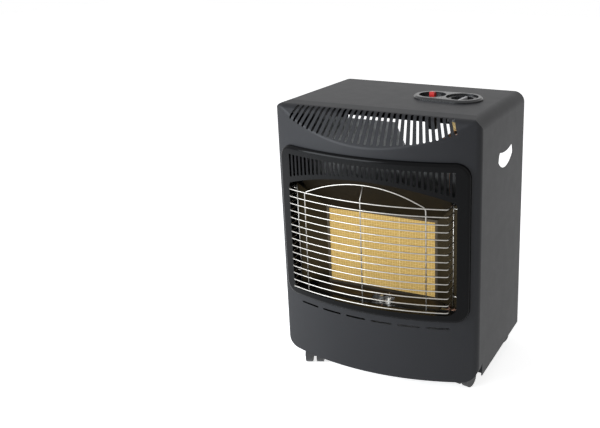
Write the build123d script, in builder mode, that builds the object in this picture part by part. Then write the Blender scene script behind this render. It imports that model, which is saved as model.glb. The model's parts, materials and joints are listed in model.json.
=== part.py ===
"""Portable gas cabinet heater: a sheet-steel cabinet on four castors, with a bowed front.

Millimetres, +Z up, the front faces -Y. The origin is on the floor, under the middle of
the whole heater. Every piece is its own solid, written to parts/ under its own name.
"""

import os
from math import atan2, cos, degrees, radians, sin, sqrt, tan

from build123d import *

os.makedirs("parts", exist_ok=True)

# ---------------------------------------------------------------------------
# Driving dimensions
# ---------------------------------------------------------------------------

# Cabinet
cabinet_width = 430.0
panel_height = 530.0
body_depth = 248.0  # front seam to back edge
floor_gap = 40.0  # floor to the lower edge of the panels
sheet = 1.0  # cabinet sheet steel
cabinet_radius = 22.0  # rounded top edges, seen from the front
seat_gap = 0.1  # between pieces that are screwed or clipped together
slot_corner = 0.28  # cut-off corners of the vent slots, in slot widths
lip_reach = 10.0  # lip of the side sheet, inside the front panel

# Bowed front panel
flange_depth = 28.0  # side flange, from the seam to the corner
bow_rise = 44.0
corner_radius = 15.0  # upright corner between flange and bow
foot_radius = 30.0  # lower corners, seen from the front
foot_lip = 12.0  # turned-in lower edge
roof_run = 31.0  # seam to the shoulder over the top vent
roof_fall = 2.8
vent_slope = 56.0  # degrees
shoulder_radius = 18.0
vent_blend_radius = 55.0
brow_radius = 8.0  # softened crease between the slope and the bow

# Fanned vent in the top of the front panel
vent_slots = 29
vent_margin = 54.0  # side of the cabinet to the outer slots' heads
vent_slot_width = 5.0
vent_drop = 64.0  # length of the middle slot
vent_smile_radius = 368.0  # arc through the lower ends
vent_fan_reach = 400.0  # slots aim at a point this far up the slope

# Slots under the window
low_slots = 6
low_slot_margin = 74.0  # side of the cabinet to the middle of the outer slots
low_slot_bridge = 13.0  # between two slots
low_slot_height = 3.6
low_slot_level = 115.7  # above the lower edge of the panel

# Enamelled window surround
surround_side = 15.0  # side of the cabinet to the surround
surround_bottom = 131.5  # above the lower edge of the panel
surround_top = 449.5
surround_radius = 28.0
surround_proud = 8.0
surround_edge = 6.5  # rounded outer edge
surround_lap = 5.0  # over the panel all round
window_border = 22.0  # side of the surround to the window
window_bottom = 147.0
window_shoulder = 373.0  # where the sides meet the arched top
window_crown = 404.0
window_radius = 20.0  # lower corners
window_shoulder_radius = 9.0
reveal_depth = 20.0
surround_slots = 35
surround_slot_margin = 28.0  # side of the surround to the outer slots' middles
surround_slot_width = 5.4
surround_slot_top = 433.0
surround_slot_crown = 412.0  # lower end of the middle slot
surround_slot_radius = 595.0  # arc through the lower ends

# Wire guard
wire_radius = 1.2
guard_standoff = 22.0  # wire centre in front of the panel's bow
guard_side_gap = 11.0  # rear uprights to the side of the window
guard_bottom = 160.0  # lowest wire, above the lower edge of the panel
guard_top = 367.0
guard_wires = 15
guard_bend = 5.0
guard_return = 30.0  # the wire ends run this far back
guard_leg_spacing = 127.0  # outer uprights, from the middle
guard_crown = 396.0  # top of the arched wire
guard_hook = 3.0  # hook ends, beyond the inside of the surround
guard_arch_slope = 22.0  # degrees
hook_clearance = 0.3
wire_sides = 4
weld = 0.4  # how far welded wires sink into each other

# Burner
plaque_places = ("left", "middle", "right")
plaque_count = len(plaque_places)
plaque_width = 78.2
plaque_height = 162.0
plaque_depth = 12.0
plaque_pitch = 79.0
plaque_level = 235.0  # middle of the plaques, above the lower edge of the panel
plaque_face = 5.0  # in front of the seam
burner_wall = 1.5
burner_depth = 32.0
burner_ledge = 4.0  # step that the plaques sit on
frame_lap = 2.5  # frame over the plaque edges
frame_return = 9.0

# Reflectors
hood_reach = 39.0  # hood front edge, in front of the plaques
hood_rise = 78.0
hood_side_gap = 20.0  # hood to the side of the window
cheek_reach = 25.0
cheek_side_gap = 5.0  # cheeks to the side of the window
hood_edge = 4.0  # level front edge of the hood
hood_window_gap = 2.0  # hood to the edge of the window
sill_side_gap = 40.0  # the sheet below the plaques, to the side of the window
sill_reach = 29.0
sill_fall = 5.0
sill_lip = 9.0

# Pilot, beside the middle of the sill
pilot_notch_x = 13.0
pilot_notch_width = 46.0
pilot_reach = 19.0  # in front of the plaques
pilot_x = 8.0
pilot_radius = 3.5
pilot_height = 15.0
probe_x = -4.0
probe_radius = 1.5
probe_height = 24.0
probe_drop = 8.0  # below the bracket's shelf
electrode_x = 25.0
insulator_radius = 3.6
insulator_height = 12.0
electrode_radius = 1.0
electrode_height = 12.0
bracket_height = 14.0
bracket_edge = 5.0  # shelf round the pilot parts

# Gas parts
mixer_radius = 8.0
mixer_wall = 1.2
mixer_drop = 26.0  # burner box to the mixer tube's centre line
mixer_bend = 15.0
mixer_length = 77.0
bell_radius = 10.5
bell_length = 14.0
injector_radius = 5.0
injector_length = 22.0
injector_gap = 6.0
supply_radius = 4.0
pilot_pipe_radius = 2.0
supply_spacing = 16.0  # upright run of the supply pipe, beyond the pilot pipe
supply_bend = 14.0
pilot_pipe_bend = 8.0
pilot_pipe_gap = 20.6  # burner frame to the pilot pipe
pilot_pipe_drop = 12.0  # below the pilot's shelf
pipe_spread = 9.0  # pipes to the middle of the valve
pipe_sides = 8

# Heat shield between the burner and the bottle bay
shield_top = 496.0  # above the lower edge of the panel
shield_cut_level = 432.0
shield_cut_start = 20.0
shield_cut_end = 50.0
shield_flange = 14.0
shield_vent_level = 84.0
shield_vent_height = 8.0

# Base tray and back
tray_gap = 5.0  # lower edge of the panels to the tray
tray_sheet = 1.2
tray_wall = 16.0
tray_front = 20.0  # in front of the seam
rest_width = 240.0  # raised rest for the bottle
rest_depth = 120.0
rest_rise = 2.0
back_flange = 14.0
back_recess = 3.0
apron_depth = 80.0
apron_screw_drops = (20.0, 62.0)  # below the cabinet top
cover_height = 262.0
cover_clearance = 1.0
cover_lap = 12.0
finger_slot_length = 90.0
finger_slot_height = 22.0
hook_width = 24.0
hook_drop = 9.0
hook_spread = 130.0  # hooks, from the middle
cover_vents = 9
cover_vent_pitch = 26.0
cover_vent_width = 6.0
cover_vent_height = 60.0
cover_vent_level = 90.0  # middle of the vents, above the cover's lower edge

# Hand holes
hand_hole_length = 94.0
hand_hole_level = 421.0  # above the lower edge of the panel
hand_hole_lip = 19.0
hand_hole_radius = 6.0

# Controls
knob_inset = 93.0  # side of the cabinet to the knob
control_spacing = 63.5  # knob to button
knob_lobe = 41.8
button_lobe = 38.5
escutcheon_height = 6.0
escutcheon_edge = 3.5
escutcheon_spigot = 15.0
escutcheon_inset = 4.0
knob_radius = 31.5
knob_well_gap = 1.2
knob_well_depth = 12.0  # below the cabinet top
knob_rise = 2.5  # knob rim above the cabinet top
knob_gap = 0.3  # knob and spindle to the escutcheon
knob_edge = 1.5
knob_dish_radius = 22.8
knob_dish_depth = 5.0
knob_cover = 3.0  # knob over the end of the spindle
grip_length = 42.0
grip_width = 4.5
grip_height = 5.4
grip_edge = 1.0
grip_turn = -4.0  # degrees, at rest
well_floor = 2.0
spindle_radius = 4.0
spindle_fit = 0.05
button_size = 10.5
button_fit = 0.3
button_rise = 11.5  # above the cabinet top
button_well_radius = 27.4
button_well_depth = 2.0  # below the cabinet top
button_travel = 6.0
button_gap = 2.0  # below the floor of the well, at rest
button_edge = 1.0
stem_radius = 3.5
stem_length = 15.0
igniter_radius = 9.5
igniter_length = 48.0
igniter_head = 17.0
igniter_wall = 3.0
valve_drop = 37.0  # cabinet top to the valve body
valve_width = 36.0
valve_depth = 30.0
valve_height = 34.0
valve_neck_radius = 9.0
valve_neck = 12.0
valve_flange = 9.0  # feet of the valve bracket
nozzle_hex = 17.0  # across the flats
nozzle_hex_height = 9.0
nozzle_radius = 4.5
nozzle_length = 24.0
nozzle_bore = 2.5
nozzle_barbs = 2
nozzle_land = 6.0  # plain round end that the hose is pushed over
nozzle_barb_rise = 0.8
nozzle_sides = 12

# Castors
castor_inset_x = 49.0  # side of the cabinet to the pivot
castor_front_y = 3.0  # behind the seam
castor_rear_y = 207.0
front_left_trail = -68.0  # degrees, pivot to wheels, as the castors stand
front_right_trail = 78.0
rear_left_trail = 100.0
rear_right_trail = 50.0
wheel_radius = 18.0
wheel_width = 13.5
wheel_sides = 40
castor_trail = 17.0
axle_radius = 2.0
wheel_fit = 0.05
fork_width = 9.0
wheel_side_gap = 0.4
hood_gap = 1.2  # wheel tread to the hood
hood_wall = 1.5
fender_level = 22.0  # lower ends of the hood, above the floor
hub_size = 16.0
axle_boss = 6.0
castor_pin_radius = 3.0
pin_depth = 12.0
castor_plate_size = 36.0
castor_plate_thickness = 2.0
castor_hood_gap = 0.8  # hood to the lower edge of the panels

# Screws
screw_radius = 2.0
screw_head_radius = 3.8
screw_head_height = 1.7
screw_length = 6.0
screw_sides = 6

# ---------------------------------------------------------------------------
# Levels and places worked out from them
# ---------------------------------------------------------------------------

half_width = cabinet_width / 2
bow_radius = (half_width**2 + bow_rise**2) / (2 * bow_rise)
front_reach = flange_depth + bow_rise + guard_standoff + wire_radius
seam_y = (front_reach - body_depth) / 2
back_y = seam_y + body_depth
bow_centre_y = seam_y - flange_depth - bow_rise + bow_radius
apex_y = seam_y - flange_depth - bow_rise
panel_z = floor_gap
top_z = panel_z + panel_height
controls_y = seam_y + body_depth / 2
through = 2 * cabinet_width  # long enough to pass through everything

surround_width = cabinet_width - 2 * surround_side
window_width = surround_width - 2 * window_border
vent_pitch = (cabinet_width - 2 * vent_margin) / (vent_slots - 1)
low_slot_pitch = (cabinet_width - 2 * low_slot_margin) / (low_slots - 1)
low_slot_length = low_slot_pitch - low_slot_bridge
surround_slot_pitch = (surround_width - 2 * surround_slot_margin) / (surround_slots - 1)
guard_half_width = window_width / 2 - guard_side_gap
hood_half_width = window_width / 2 - hood_side_gap
cheek_half_width = window_width / 2 - cheek_side_gap
sill_half_width = window_width / 2 - sill_side_gap
knob_x = half_width - knob_inset
button_x = knob_x - control_spacing


def bow_y(x, offset):
    """Y of the front bow at x, moved outwards by offset."""
    return bow_centre_y - sqrt((bow_radius + offset) ** 2 - x**2)


# ---------------------------------------------------------------------------
# Shared forms
# ---------------------------------------------------------------------------


def rounded_front_outline(width, bottom, top, top_radius, bottom_radius):
    """Rounded rectangle seen from the front, with its own upper and lower corners."""
    with BuildSketch(Plane.XZ) as outline:
        with Locations((0, (bottom + top) / 2)):
            Rectangle(width, top - bottom)
        fillet(outline.vertices().group_by(Axis.Y)[-1], top_radius)
        fillet(outline.vertices().group_by(Axis.Y)[0], bottom_radius)
    return outline.sketch


def bowed_block(outline, front, back):
    """The outline as a solid between two bows, offset outwards from the panel's bow."""
    with BuildPart() as block:
        extrude(outline, amount=through, both=True)
        with BuildSketch(Plane.XY):
            with Locations((0, bow_centre_y)):
                Circle(bow_radius + front)
                Circle(bow_radius + back, mode=Mode.SUBTRACT)
            with Locations((0, bow_centre_y + bow_radius)):
                Rectangle(through, 2 * bow_radius, mode=Mode.SUBTRACT)
        extrude(amount=top_z, mode=Mode.INTERSECT)
    return block.part


def front_form(inset, back):
    """Filled form of the pressed front, from its bow to the plane y = back.

    Three views make it: the front outline, the bow in plan and the side profile.
    """
    with BuildPart() as form:
        outline = rounded_front_outline(
            cabinet_width - 2 * inset,
            panel_z + inset,
            top_z - inset,
            cabinet_radius - inset,
            foot_radius - inset,
        )
        extrude(outline, amount=through, both=True)
        with BuildSketch(Plane.XY):
            with BuildLine():
                corner_y = seam_y - flange_depth
                arc = ThreePointArc((-half_width, corner_y), (0, apex_y), (half_width, corner_y))
                Polyline(arc @ 1, (half_width, back + inset), (-half_width, back + inset), arc @ 0)
            plan = make_face()
            fillet(plan.vertices().group_by(Axis.Y)[0], corner_radius)
            offset(amount=-inset, kind=Kind.INTERSECTION)
        extrude(amount=top_z, mode=Mode.INTERSECT)
        with BuildSketch(Plane.YZ):
            with BuildLine():
                shoulder = (seam_y - roof_run, top_z - roof_fall)
                vent_run = flange_depth + bow_rise - roof_run
                brow = (apex_y, top_z - roof_fall - vent_run * tan(radians(vent_slope)))
                Polyline(
                    (back_y, panel_z),
                    (back_y, top_z),
                    (seam_y, top_z),
                    shoulder,
                    brow,
                    (apex_y, panel_z),
                    close=True,
                )
            profile = make_face()
            fillet(profile.vertices().sort_by_distance(shoulder)[0], shoulder_radius)
            fillet(profile.vertices().sort_by_distance(brow)[0], vent_blend_radius)
            offset(amount=-inset, kind=Kind.INTERSECTION)
        extrude(amount=through, both=True, mode=Mode.INTERSECT)
        creases = form.edges().filter_by(GeomType.ELLIPSE).sort_by(SortBy.LENGTH)[-2:]
        fillet(creases, brow_radius - inset)
    return form.part


def arch_outline(inset):
    """The window with its arched top; inset makes it larger all round."""
    half = window_width / 2
    with BuildSketch(Plane.XZ) as outline:
        with BuildLine():
            arc = ThreePointArc(
                (-half, panel_z + window_shoulder),
                (0, panel_z + window_crown),
                (half, panel_z + window_shoulder),
            )
            Polyline(arc @ 1, (half, panel_z + window_bottom), (-half, panel_z + window_bottom), arc @ 0)
        make_face()
        fillet(outline.vertices().group_by(Axis.Y)[0], window_radius)
        fillet(outline.vertices().group_by(Axis.Y)[-1], window_shoulder_radius)
        offset(amount=inset, kind=Kind.INTERSECTION)
    return outline.sketch


def rod(points, bend, radius, sides, bore=0, turn=0):
    """Bar or tube of so many flats, along a path with rounded bends."""
    with BuildPart() as run:
        with BuildLine() as path:
            if len(points) > 2:
                FilletPolyline(*points, radius=bend)
            else:
                Line(*points)
        start = Plane(origin=path.line @ 0, z_dir=path.line % 0)
        with BuildSketch(start) as section:
            RegularPolygon(radius, sides, rotation=turn)
            if bore:
                RegularPolygon(bore, sides, rotation=turn, mode=Mode.SUBTRACT)
        sweep(section.sketch, path=path.line)
    return run.part


def folded_strip(points, x_span, thickness, side):
    """Sheet folded along a path seen from the side, on one side of it, between two X limits."""
    with BuildPart() as strip:
        with BuildSketch(Plane.YZ.offset(x_span[0])) as section:
            with BuildLine():
                Polyline(*points)
                offset(amount=thickness, side=side, kind=Kind.INTERSECTION)
            make_face()
        extrude(section.sketch, amount=x_span[1] - x_span[0])
    return strip.part


# ---------------------------------------------------------------------------
# Cabinet sheet metal
# ---------------------------------------------------------------------------

# Front panel: a pressed tray, open at the back, with vents and the window opening
panel_opening_width = surround_width - 2 * surround_lap
vent_plane = Plane(
    origin=(0, seam_y - roof_run, top_z - roof_fall),
    x_dir=(1, 0, 0),
    z_dir=(0, -sin(radians(vent_slope)), cos(radians(vent_slope))),
)


def vent_slot_end(x):
    """Distance down the slope from the vent's top line to its curved lower edge."""
    return vent_drop - vent_smile_radius + sqrt(vent_smile_radius**2 - x**2)


with BuildPart() as front_panel:
    add(front_form(0, seam_y))
    add(front_form(sheet, seam_y + sheet), mode=Mode.SUBTRACT)
    with BuildSketch(vent_plane) as vent:
        for step in range(vent_slots):
            head_x = (step - (vent_slots - 1) / 2) * vent_pitch
            drop = vent_slot_end(head_x)
            foot_x = head_x * (1 + drop / vent_fan_reach)
            lean = degrees(atan2(-drop, foot_x - head_x))
            with Locations(((head_x + foot_x) / 2, -drop / 2)):
                Rectangle(drop + vent_slot_width, vent_slot_width, rotation=lean)
        lower_corners = [v for v in vent.vertices() if v.Y < -vent_slot_width]
        chamfer(lower_corners, vent_slot_width * slot_corner)
    extrude(amount=-2 * shoulder_radius, mode=Mode.SUBTRACT)
    with BuildSketch(Plane.XZ.offset(-seam_y)) as low_vent:
        with Locations((0, panel_z + low_slot_level)):
            with GridLocations(low_slot_pitch, 0, low_slots, 1):
                Rectangle(low_slot_length, low_slot_height)
        chamfer(low_vent.vertices(), low_slot_height * slot_corner)
    extrude(amount=through, mode=Mode.SUBTRACT)
    opening = rounded_front_outline(
        panel_opening_width,
        panel_z + surround_bottom + surround_lap,
        panel_z + surround_top - surround_lap,
        surround_radius - surround_lap,
        surround_radius - surround_lap,
    )
    extrude(opening, amount=through, mode=Mode.SUBTRACT)
    with BuildSketch(Plane.XY.offset(panel_z)):
        with BuildLine():
            lip_half = half_width - foot_radius
            lip_y = bow_y(lip_half, -foot_lip)
            edge = ThreePointArc((-lip_half, lip_y), (0, bow_y(0, -foot_lip)), (lip_half, lip_y))
            Polyline(edge @ 1, (lip_half, seam_y), (-lip_half, seam_y), edge @ 0)
        make_face()
    extrude(amount=sheet, mode=Mode.SUBTRACT)
front_panel.part.label = "front_panel"
export_step(front_panel.part, "parts/front_panel.step")


# Cabinet wrapper: one sheet for the top and both sides
def wrapper_ring(inset, thickness, front, back):
    """U-shaped band of the cabinet's outline, open below, between two Y planes."""
    with BuildPart() as ring:
        with BuildSketch(Plane.XZ.offset(-back)):
            for step, mode in ((inset, Mode.ADD), (inset + thickness, Mode.SUBTRACT)):
                with BuildSketch(mode=Mode.PRIVATE) as outline:
                    with Locations((0, (top_z + panel_z) / 2 - step)):
                        Rectangle(cabinet_width - 2 * step, panel_height)
                    fillet(outline.vertices().group_by(Axis.Y)[-1], max(cabinet_radius - step, sheet))
                add(outline.sketch, mode=mode)
            with Locations((0, panel_z - panel_height / 2)):
                Rectangle(cabinet_width, panel_height, mode=Mode.SUBTRACT)
        extrude(amount=back - front)
    return ring.part


lip_inset = sheet + seat_gap
flange_face_y = back_y - back_recess
apron_screw_x = half_width - sheet - back_flange / 2
apron_screws = [(side * apron_screw_x, top_z - drop) for side in (-1, 1) for drop in apron_screw_drops]
sheet_back_y = flange_face_y + seat_gap + sheet

with BuildSketch(Plane.XY.offset(top_z)) as escutcheon_outline:
    with Locations((knob_x, controls_y)):
        Circle(knob_lobe)
    with Locations((button_x, controls_y)):
        Circle(button_lobe)
    make_hull()

with BuildPart() as joggled_lip:
    add(front_form(lip_inset, seam_y + sheet / 2))
    add(front_form(lip_inset + sheet, seam_y + sheet), mode=Mode.SUBTRACT)
    with BuildSketch(Plane.XY.offset(panel_z + foot_radius)):
        with Locations((0, seam_y - lip_reach / 2 + sheet / 4)):
            Rectangle(cabinet_width, lip_reach + sheet / 2)
    extrude(amount=panel_height, mode=Mode.INTERSECT)

with BuildPart() as cabinet_wrapper:
    add(wrapper_ring(0, sheet, seam_y, back_y))
    add(wrapper_ring(0, lip_inset + sheet, seam_y, seam_y + sheet))
    add(wrapper_ring(sheet, back_flange, flange_face_y - sheet, flange_face_y))
    add(joggled_lip.part)
    with BuildSketch(Plane.YZ.offset(-half_width)):
        with BuildLine():
            hole_half = hand_hole_length / 2
            hole_z = panel_z + hand_hole_level
            corner_z = hole_z + hand_hole_lip
            lower = ThreePointArc(
                (controls_y - hole_half, hole_z),
                (controls_y, hole_z - hand_hole_lip),
                (controls_y + hole_half, hole_z),
            )
            upper_half = hole_half - hand_hole_radius
            upper = ThreePointArc(
                (controls_y + upper_half, corner_z),
                (controls_y, corner_z - hand_hole_radius),
                (controls_y - upper_half, corner_z),
            )
            Line(lower @ 1, upper @ 0)
            Line(upper @ 1, lower @ 0)
        hand_hole = make_face()
        fillet(hand_hole.vertices(), hand_hole_radius)
    extrude(amount=cabinet_width, mode=Mode.SUBTRACT)
    extrude(
        offset(escutcheon_outline.sketch, amount=-escutcheon_inset, mode=Mode.PRIVATE),
        amount=escutcheon_height,
        both=True,
        mode=Mode.SUBTRACT,
    )
    with BuildSketch(Plane.XZ.offset(-flange_face_y)):
        with Locations(*apron_screws):
            RegularPolygon(screw_radius + seat_gap, screw_sides, major_radius=False)
    extrude(amount=screw_length, mode=Mode.SUBTRACT)
cabinet_wrapper.part.label = "cabinet_wrapper"
export_step(cabinet_wrapper.part, "parts/cabinet_wrapper.step")


# Enamelled surround: a pressed frame over the panel's opening, with a reveal behind it
def surround_outline(inset):
    """The frame's outside, seen from the front."""
    return rounded_front_outline(
        surround_width - 2 * inset,
        panel_z + surround_bottom + inset,
        panel_z + surround_top - inset,
        surround_radius - inset,
        surround_radius - inset,
    )


def surround_slot_end(x):
    """Level of a surround slot's lower end."""
    return panel_z + surround_slot_crown - surround_slot_radius + sqrt(surround_slot_radius**2 - x**2)


wire_corner = wire_radius * sqrt(2)
wire_turn = 180 / wire_sides
guard_radius = bow_radius + guard_standoff
guard_rear_y = bow_y(guard_half_width, guard_standoff) + guard_return
guard_spacing = (guard_top - guard_bottom) / (guard_wires - 1)
hook_levels = [
    panel_z + guard_bottom + 1.5 * guard_spacing,
    panel_z + guard_top - 0.5 * guard_spacing,
]

with BuildPart() as surround_hollow:
    add(bowed_block(surround_outline(sheet), surround_proud - sheet, -reveal_depth))
    hollow_front = surround_hollow.faces().sort_by(Axis.Y)[0]
    chamfer(hollow_front.edges(), surround_edge / 2)
    add(bowed_block(arch_outline(sheet), surround_proud, -2 * reveal_depth), mode=Mode.SUBTRACT)

with BuildPart() as window_surround:
    add(bowed_block(surround_outline(0), surround_proud, seat_gap))
    frame_front = window_surround.faces().sort_by(Axis.Y)[0]
    fillet(frame_front.edges(), surround_edge)
    add(bowed_block(arch_outline(sheet), surround_proud - surround_edge, surround_proud - reveal_depth))
    add(bowed_block(arch_outline(0), 2 * surround_proud, -2 * reveal_depth), mode=Mode.SUBTRACT)
    add(surround_hollow.part, mode=Mode.SUBTRACT)
    with BuildSketch(Plane.XZ) as surround_vent:
        for step in range(surround_slots):
            slot_x = (step - (surround_slots - 1) / 2) * surround_slot_pitch
            slot_end = surround_slot_end(slot_x)
            slot_length = panel_z + surround_slot_top - slot_end
            with Locations((slot_x, slot_end + slot_length / 2)):
                Rectangle(surround_slot_width, slot_length)
        slot_middle = panel_z + surround_slot_top - surround_slot_width
        slot_feet = [v for v in surround_vent.vertices() if v.Y < slot_middle]
        chamfer(slot_feet, surround_slot_width * slot_corner)
    extrude(amount=through, both=True, mode=Mode.SUBTRACT)
    hook_slot = 2 * (wire_radius + hook_clearance)
    for level in hook_levels:
        with Locations(*[(side * window_width / 2, guard_rear_y, level) for side in (-1, 1)]):
            Box(4 * sheet, hook_slot, hook_slot, mode=Mode.SUBTRACT)
window_surround.part.label = "window_surround"
export_step(window_surround.part, "parts/window_surround.step")

# Wire guard: bowed wires welded to uprights, sprung into the surround at four hooks
guard_end_x = guard_half_width - guard_bend
bend_y = bow_centre_y - sqrt((guard_radius - guard_bend) ** 2 - guard_end_x**2)
turn = guard_radius / (guard_radius - guard_bend)
bow_end = (guard_end_x * turn, bow_centre_y + (bend_y - bow_centre_y) * turn)
leg_y = bow_y(guard_leg_spacing, guard_standoff) + 2 * wire_radius - weld
spine_y = bow_y(0, guard_standoff) + 2 * wire_radius - weld
arch_foot = panel_z + guard_top
spine_bend_z = arch_foot + guard_bend
arch_rise = guard_leg_spacing * tan(radians(guard_arch_slope))
arch_radius = (arch_rise - guard_crown + guard_top) / (1 / cos(radians(guard_arch_slope)) - 1)

with BuildPart() as bowed_wire:
    with BuildLine() as half_bow:
        bow = ThreePointArc(
            (0, bow_centre_y - guard_radius),
            (guard_leg_spacing, bow_centre_y - sqrt(guard_radius**2 - guard_leg_spacing**2)),
            bow_end,
        )
        bend = TangentArc(bow @ 1, (guard_half_width, bend_y), tangent=bow % 1)
        Line(bend @ 1, (guard_half_width, guard_rear_y))
    with BuildSketch(Plane(origin=half_bow.line @ 0, z_dir=half_bow.line % 0)) as wire_section:
        RegularPolygon(wire_corner, wire_sides, rotation=wire_turn)
    sweep(wire_section.sketch, path=half_bow.line)
    mirror(about=Plane.YZ)

with BuildPart() as wire_guard:
    for row in range(guard_wires):
        with Locations((0, 0, panel_z + guard_bottom + row * guard_spacing)):
            add(bowed_wire.part)
    guard_foot = panel_z + guard_bottom - wire_radius
    add(
        rod(
            [
                (-guard_leg_spacing, leg_y, guard_foot),
                (-guard_leg_spacing, leg_y, arch_foot),
                (0, leg_y, arch_foot + arch_rise),
                (guard_leg_spacing, leg_y, arch_foot),
                (guard_leg_spacing, leg_y, guard_foot),
            ],
            [2 * guard_bend, arch_radius, 2 * guard_bend],
            wire_corner,
            wire_sides,
            turn=wire_turn,
        )
    )
    add(
        rod(
            [(0, spine_y, guard_foot), (0, spine_y, spine_bend_z), (0, leg_y, panel_z + guard_crown)],
            guard_bend,
            wire_corner,
            wire_sides,
            turn=wire_turn,
        )
    )
    for side in (-1, 1):
        rear_x = side * guard_half_width
        rear_top = (rear_x, guard_rear_y, arch_foot + wire_radius)
        rear_foot = (rear_x, guard_rear_y, guard_foot)
        add(rod([rear_foot, rear_top], 0, wire_corner, wire_sides, turn=wire_turn))
        for level in hook_levels:
            hook_end = (side * (window_width / 2 + guard_hook), guard_rear_y, level)
            hook_start = (rear_x, guard_rear_y, level)
            add(rod([hook_start, hook_end], 0, wire_corner, wire_sides, turn=wire_turn))
wire_guard.part.label = "wire_guard"
export_step(wire_guard.part, "parts/wire_guard.step")

# ---------------------------------------------------------------------------
# Burner
# ---------------------------------------------------------------------------

plaque_y = seam_y - plaque_face
box_back_y = plaque_y + burner_depth
plaque_z = panel_z + plaque_level
pocket_half = plaque_count * plaque_pitch / 2 + seat_gap
pocket_height = plaque_height + 2 * seat_gap
box_half = pocket_half + burner_wall
box_height = pocket_height + 2 * burner_wall
box_bottom = plaque_z - box_height / 2
plenum_back_y = box_back_y - burner_wall
mixer_y = (plaque_y + plaque_depth + plenum_back_y) / 2


def burner_slab(half, height, front_y, rear_y, mode=Mode.ADD):
    """Slab between two Y planes, centred on the burner."""
    with BuildSketch(Plane.XZ.offset(-rear_y)) as slab:
        with Locations((0, plaque_z)):
            Rectangle(2 * half, height)
    extrude(slab.sketch, amount=rear_y - front_y, mode=mode)


with BuildPart() as burner_box:
    burner_slab(box_half, box_height, plaque_y, box_back_y)
    burner_slab(pocket_half, pocket_height, plaque_y, plaque_y + plaque_depth, Mode.SUBTRACT)
    plenum_height = pocket_height - 2 * burner_ledge
    burner_slab(pocket_half - burner_ledge, plenum_height, plaque_y, plenum_back_y, Mode.SUBTRACT)
    with Locations((0, mixer_y, box_bottom)):
        Cylinder(mixer_radius + seat_gap / 2, 4 * (burner_wall + burner_ledge), mode=Mode.SUBTRACT)
burner_box.part.label = "burner_box"
export_step(burner_box.part, "parts/burner_box.step")

# Ceramic plaques, side by side in the pocket
for step, place in enumerate(plaque_places):
    with BuildPart() as plaque:
        with BuildSketch(Plane.XZ.offset(-plaque_y - plaque_depth)):
            with Locations(((step - (plaque_count - 1) / 2) * plaque_pitch, plaque_z)):
                Rectangle(plaque_width, plaque_height)
        extrude(amount=plaque_depth)
    plaque.part.label = f"ceramic_plaque_{place}"
    export_step(plaque.part, f"parts/ceramic_plaque_{place}.step")

# Frame that holds the plaques in the box
frame_half = box_half + seat_gap + sheet
pilot_pipe_x = frame_half + pilot_pipe_gap
supply_x = pilot_pipe_x + supply_spacing
frame_height = box_height + 2 * (seat_gap + sheet)
frame_top = plaque_z + frame_height / 2
frame_bottom = plaque_z - frame_height / 2
with BuildPart() as burner_frame:
    frame_rear_y = plaque_y + frame_return
    burner_slab(frame_half, frame_height, plaque_y - sheet, frame_rear_y)
    burner_slab(frame_half - sheet, frame_height - 2 * sheet, plaque_y, frame_rear_y, Mode.SUBTRACT)
    opening_height = pocket_height - 2 * frame_lap
    burner_slab(pocket_half - frame_lap, opening_height, plaque_y - sheet, plaque_y, Mode.SUBTRACT)
burner_frame.part.label = "burner_frame"
export_step(burner_frame.part, "parts/burner_frame.step")

# ---------------------------------------------------------------------------
# Reflectors round the burner
# ---------------------------------------------------------------------------

# Hood: rises forward from the frame's top edge
hood_foot_z = frame_top + seat_gap
hood_front_y = plaque_y - hood_reach
hood_front_z = hood_foot_z + hood_rise
hood_path = [
    (plaque_y + frame_return, hood_foot_z),
    (plaque_y - sheet, hood_foot_z),
    (hood_front_y, hood_front_z),
    (hood_front_y - hood_edge, hood_front_z),
]
with BuildPart() as reflector_hood:
    add(folded_strip(hood_path, (-hood_half_width, hood_half_width), sheet, Side.RIGHT))
    extrude(arch_outline(-hood_window_gap), amount=through, both=True, mode=Mode.INTERSECT)
reflector_hood.part.label = "reflector_hood"
export_step(reflector_hood.part, "parts/reflector_hood.step")

# Cheeks: flare out from the frame's sides to the edge of the window
for side, place in ((-1, "left"), (1, "right")):
    cheek_x = frame_half + seat_gap
    with BuildPart() as side_reflector:
        with BuildSketch(Plane.XY.offset(frame_bottom)):
            with BuildLine():
                Polyline(
                    (side * cheek_x, plaque_y + frame_return),
                    (side * cheek_x, plaque_y - sheet),
                    (side * cheek_half_width, plaque_y - cheek_reach),
                )
                outward = Side.RIGHT if side < 0 else Side.LEFT
                offset(amount=sheet, side=outward, kind=Kind.INTERSECTION)
            make_face()
        extrude(amount=frame_height + hood_rise)
        with BuildSketch(Plane.YZ):
            with BuildLine():
                Polyline(
                    (back_y, hood_foot_z - 2 * seat_gap),
                    (plaque_y - sheet, hood_foot_z - 2 * seat_gap),
                    (hood_front_y, hood_front_z - 2 * seat_gap),
                    (hood_front_y, top_z),
                    (back_y, top_z),
                    close=True,
                )
            make_face()
        extrude(amount=half_width, both=True, mode=Mode.SUBTRACT)
    side_reflector.part.label = f"side_reflector_{place}"
    export_step(side_reflector.part, f"parts/side_reflector_{place}.step")

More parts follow.
